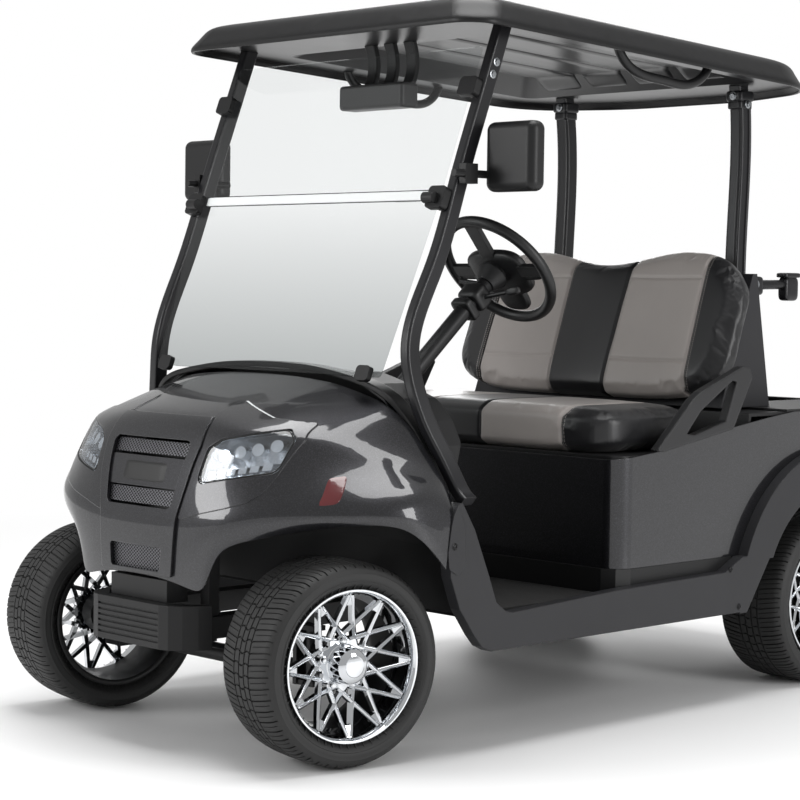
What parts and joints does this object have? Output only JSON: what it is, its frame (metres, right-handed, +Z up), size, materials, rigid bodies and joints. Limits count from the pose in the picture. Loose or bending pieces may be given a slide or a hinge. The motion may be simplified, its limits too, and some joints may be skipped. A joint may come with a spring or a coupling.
{
  "type": "two-seat electric golf cart",
  "caption": "Golf cart with a curved front cowl, roof on struts, fold-down windscreen, two-tone bench seat, spoked wheels and working steering.",
  "frame": {"origin": "on the floor under the middle of the whole cart", "axes": "+X to the cart's left, +Y to its rear, +Z up; it faces -Y"},
  "size_m": [1.264, 2.3339, 1.7352],
  "materials": {
    "graphite_paint": "gloss metallic graphite paint on moulded panels",
    "black_moulding": "grained black and dark grey moulded plastic",
    "roof_plastic": "satin black moulded roof",
    "frame_steel": "black coated steel",
    "strut_steel": "dark powder coated struts",
    "clear_acrylic": "clear acrylic sheet",
    "lamp_lens": "clear moulded lens",
    "lamp_dark": "dark lamp bowl",
    "lamp_bright": "bright projectors and cells",
    "mesh_grey": "silver grey mesh",
    "rear_red": "red tail lamp",
    "seat_vinyl": "black and warm grey sewn vinyl",
    "mat_rubber": "ribbed rubber floor mat",
    "battery_case": "battery pack",
    "axle_iron": "axles and drive unit",
    "spring_steel": "spring leaves",
    "wheel_chrome": "chromed star wheels",
    "tyre_rubber": "road tyre",
    "grip_black": "soft black steering wheel rim"
  },
  "bodies": {
    "root": {"back_shell": "black_moulding", "backrest": "seat_vinyl", "badge_bar": "graphite_paint", "bag_bar": "frame_steel", "bag_well": "black_moulding", "battery_pack": "battery_case", "chassis_frame": "frame_steel", "cowl_brow": "black_moulding", "cowl_supports": "black_moulding", "dashboard": "black_moulding", "floor_mat": "mat_rubber", "floor_pan": "black_moulding", "front_axle": "axle_iron", "front_bumper": "black_moulding", "front_cowl": "graphite_paint", "front_struts": "strut_steel", "front_valance": "black_moulding", "grille_mask": "graphite_paint", "grille_mesh": "mesh_grey", "headlamp_bowls": "lamp_dark", "headlamp_lenses": "lamp_lens", "headlamp_lights": "lamp_bright", "hip_restraints": "black_moulding", "leaf_springs": "spring_steel", "mirrors": "black_moulding", "overhead_console": "black_moulding", "pedals": "frame_steel", "pod_skirt": "black_moulding", "rear_axle": "axle_iron", "rear_body": "graphite_paint", "rear_bumper": "black_moulding", "rear_deck": "black_moulding", "rear_struts": "strut_steel", "roof": "roof_plastic", "roof_handles": "black_moulding", "roof_liner": "black_moulding", "seat_base": "black_moulding", "sills": "black_moulding", "steering_column": "frame_steel", "tail_lamps": "rear_red", "toe_board": "black_moulding", "windscreen": "clear_acrylic", "windscreen_clips": "black_moulding"},
    "knuckle_left_body": {"knuckle_left": "axle_iron"},
    "knuckle_right_body": {"knuckle_right": "axle_iron"},
    "wheel_front_left_body": {"wheel_front_left": "wheel_chrome", "tyre_front_left": "tyre_rubber"},
    "wheel_front_right_body": {"wheel_front_right": "wheel_chrome", "tyre_front_right": "tyre_rubber"},
    "wheel_rear_left_body": {"wheel_rear_left": "wheel_chrome", "tyre_rear_left": "tyre_rubber"},
    "wheel_rear_right_body": {"wheel_rear_right": "wheel_chrome", "tyre_rear_right": "tyre_rubber"},
    "steering_rack_body": {"steering_rack": "axle_iron"},
    "steering_wheel_body": {"steering_wheel": "grip_black"},
    "seat_cushion_body": {"seat_cushion": "seat_vinyl"}
  },
  "joints": [
    {"name": "steer_left", "type": "hinge", "parent": "root", "child": "knuckle_left_body", "pos_m": [0.368, -0.92, 0.2275], "axis": [0, 0, 1], "range_deg": [-18, 38]},
    {"name": "steer_right", "type": "hinge", "parent": "root", "child": "knuckle_right_body", "pos_m": [-0.368, -0.92, 0.2275], "axis": [0, 0, 1], "range_deg": [-18, 38]},
    {"name": "rack_slide", "type": "slide", "parent": "root", "child": "steering_rack_body", "axis": [1, 0, 0], "range_m": [-0.06264, 0.02978]},
    {"name": "steering_wheel_turn", "type": "hinge", "parent": "root", "child": "steering_wheel_body", "pos_m": [0.25, -0.218, 1.098], "axis": [0, 0.7547, 0.6561], "range_deg": [-216, 456]},
    {"name": "wheel_front_left_spin", "type": "hinge", "parent": "knuckle_left_body", "child": "wheel_front_left_body", "pos_m": [0.43694, -0.93215, 0.2275], "axis": [0.9848, -0.1736, 0], "continuous": true},
    {"name": "wheel_front_right_spin", "type": "hinge", "parent": "knuckle_right_body", "child": "wheel_front_right_body", "pos_m": [-0.43694, -0.90785, 0.2275], "axis": [0.9848, -0.1736, 0], "continuous": true},
    {"name": "wheel_rear_left_spin", "type": "hinge", "parent": "root", "child": "wheel_rear_left_body", "pos_m": [0.489, 0.744, 0.2275], "axis": [1, 0, 0], "continuous": true},
    {"name": "wheel_rear_right_spin", "type": "hinge", "parent": "root", "child": "wheel_rear_right_body", "pos_m": [-0.489, 0.744, 0.2275], "axis": [1, 0, 0], "continuous": true},
    {"name": "seat_lift", "type": "hinge", "parent": "root", "child": "seat_cushion_body", "pos_m": [0, 0.285, 0.649], "axis": [-1, 0, 0], "range_deg": [0, 50]}
  ],
  "couplings": [
    {"joint": "steer_right", "follows": "steer_left", "ratio": 1},
    {"joint": "rack_slide", "follows": "steer_left", "m_per_rad": -0.094146},
    {"joint": "steering_wheel_turn", "follows": "steer_left", "ratio": 12}
  ]
}
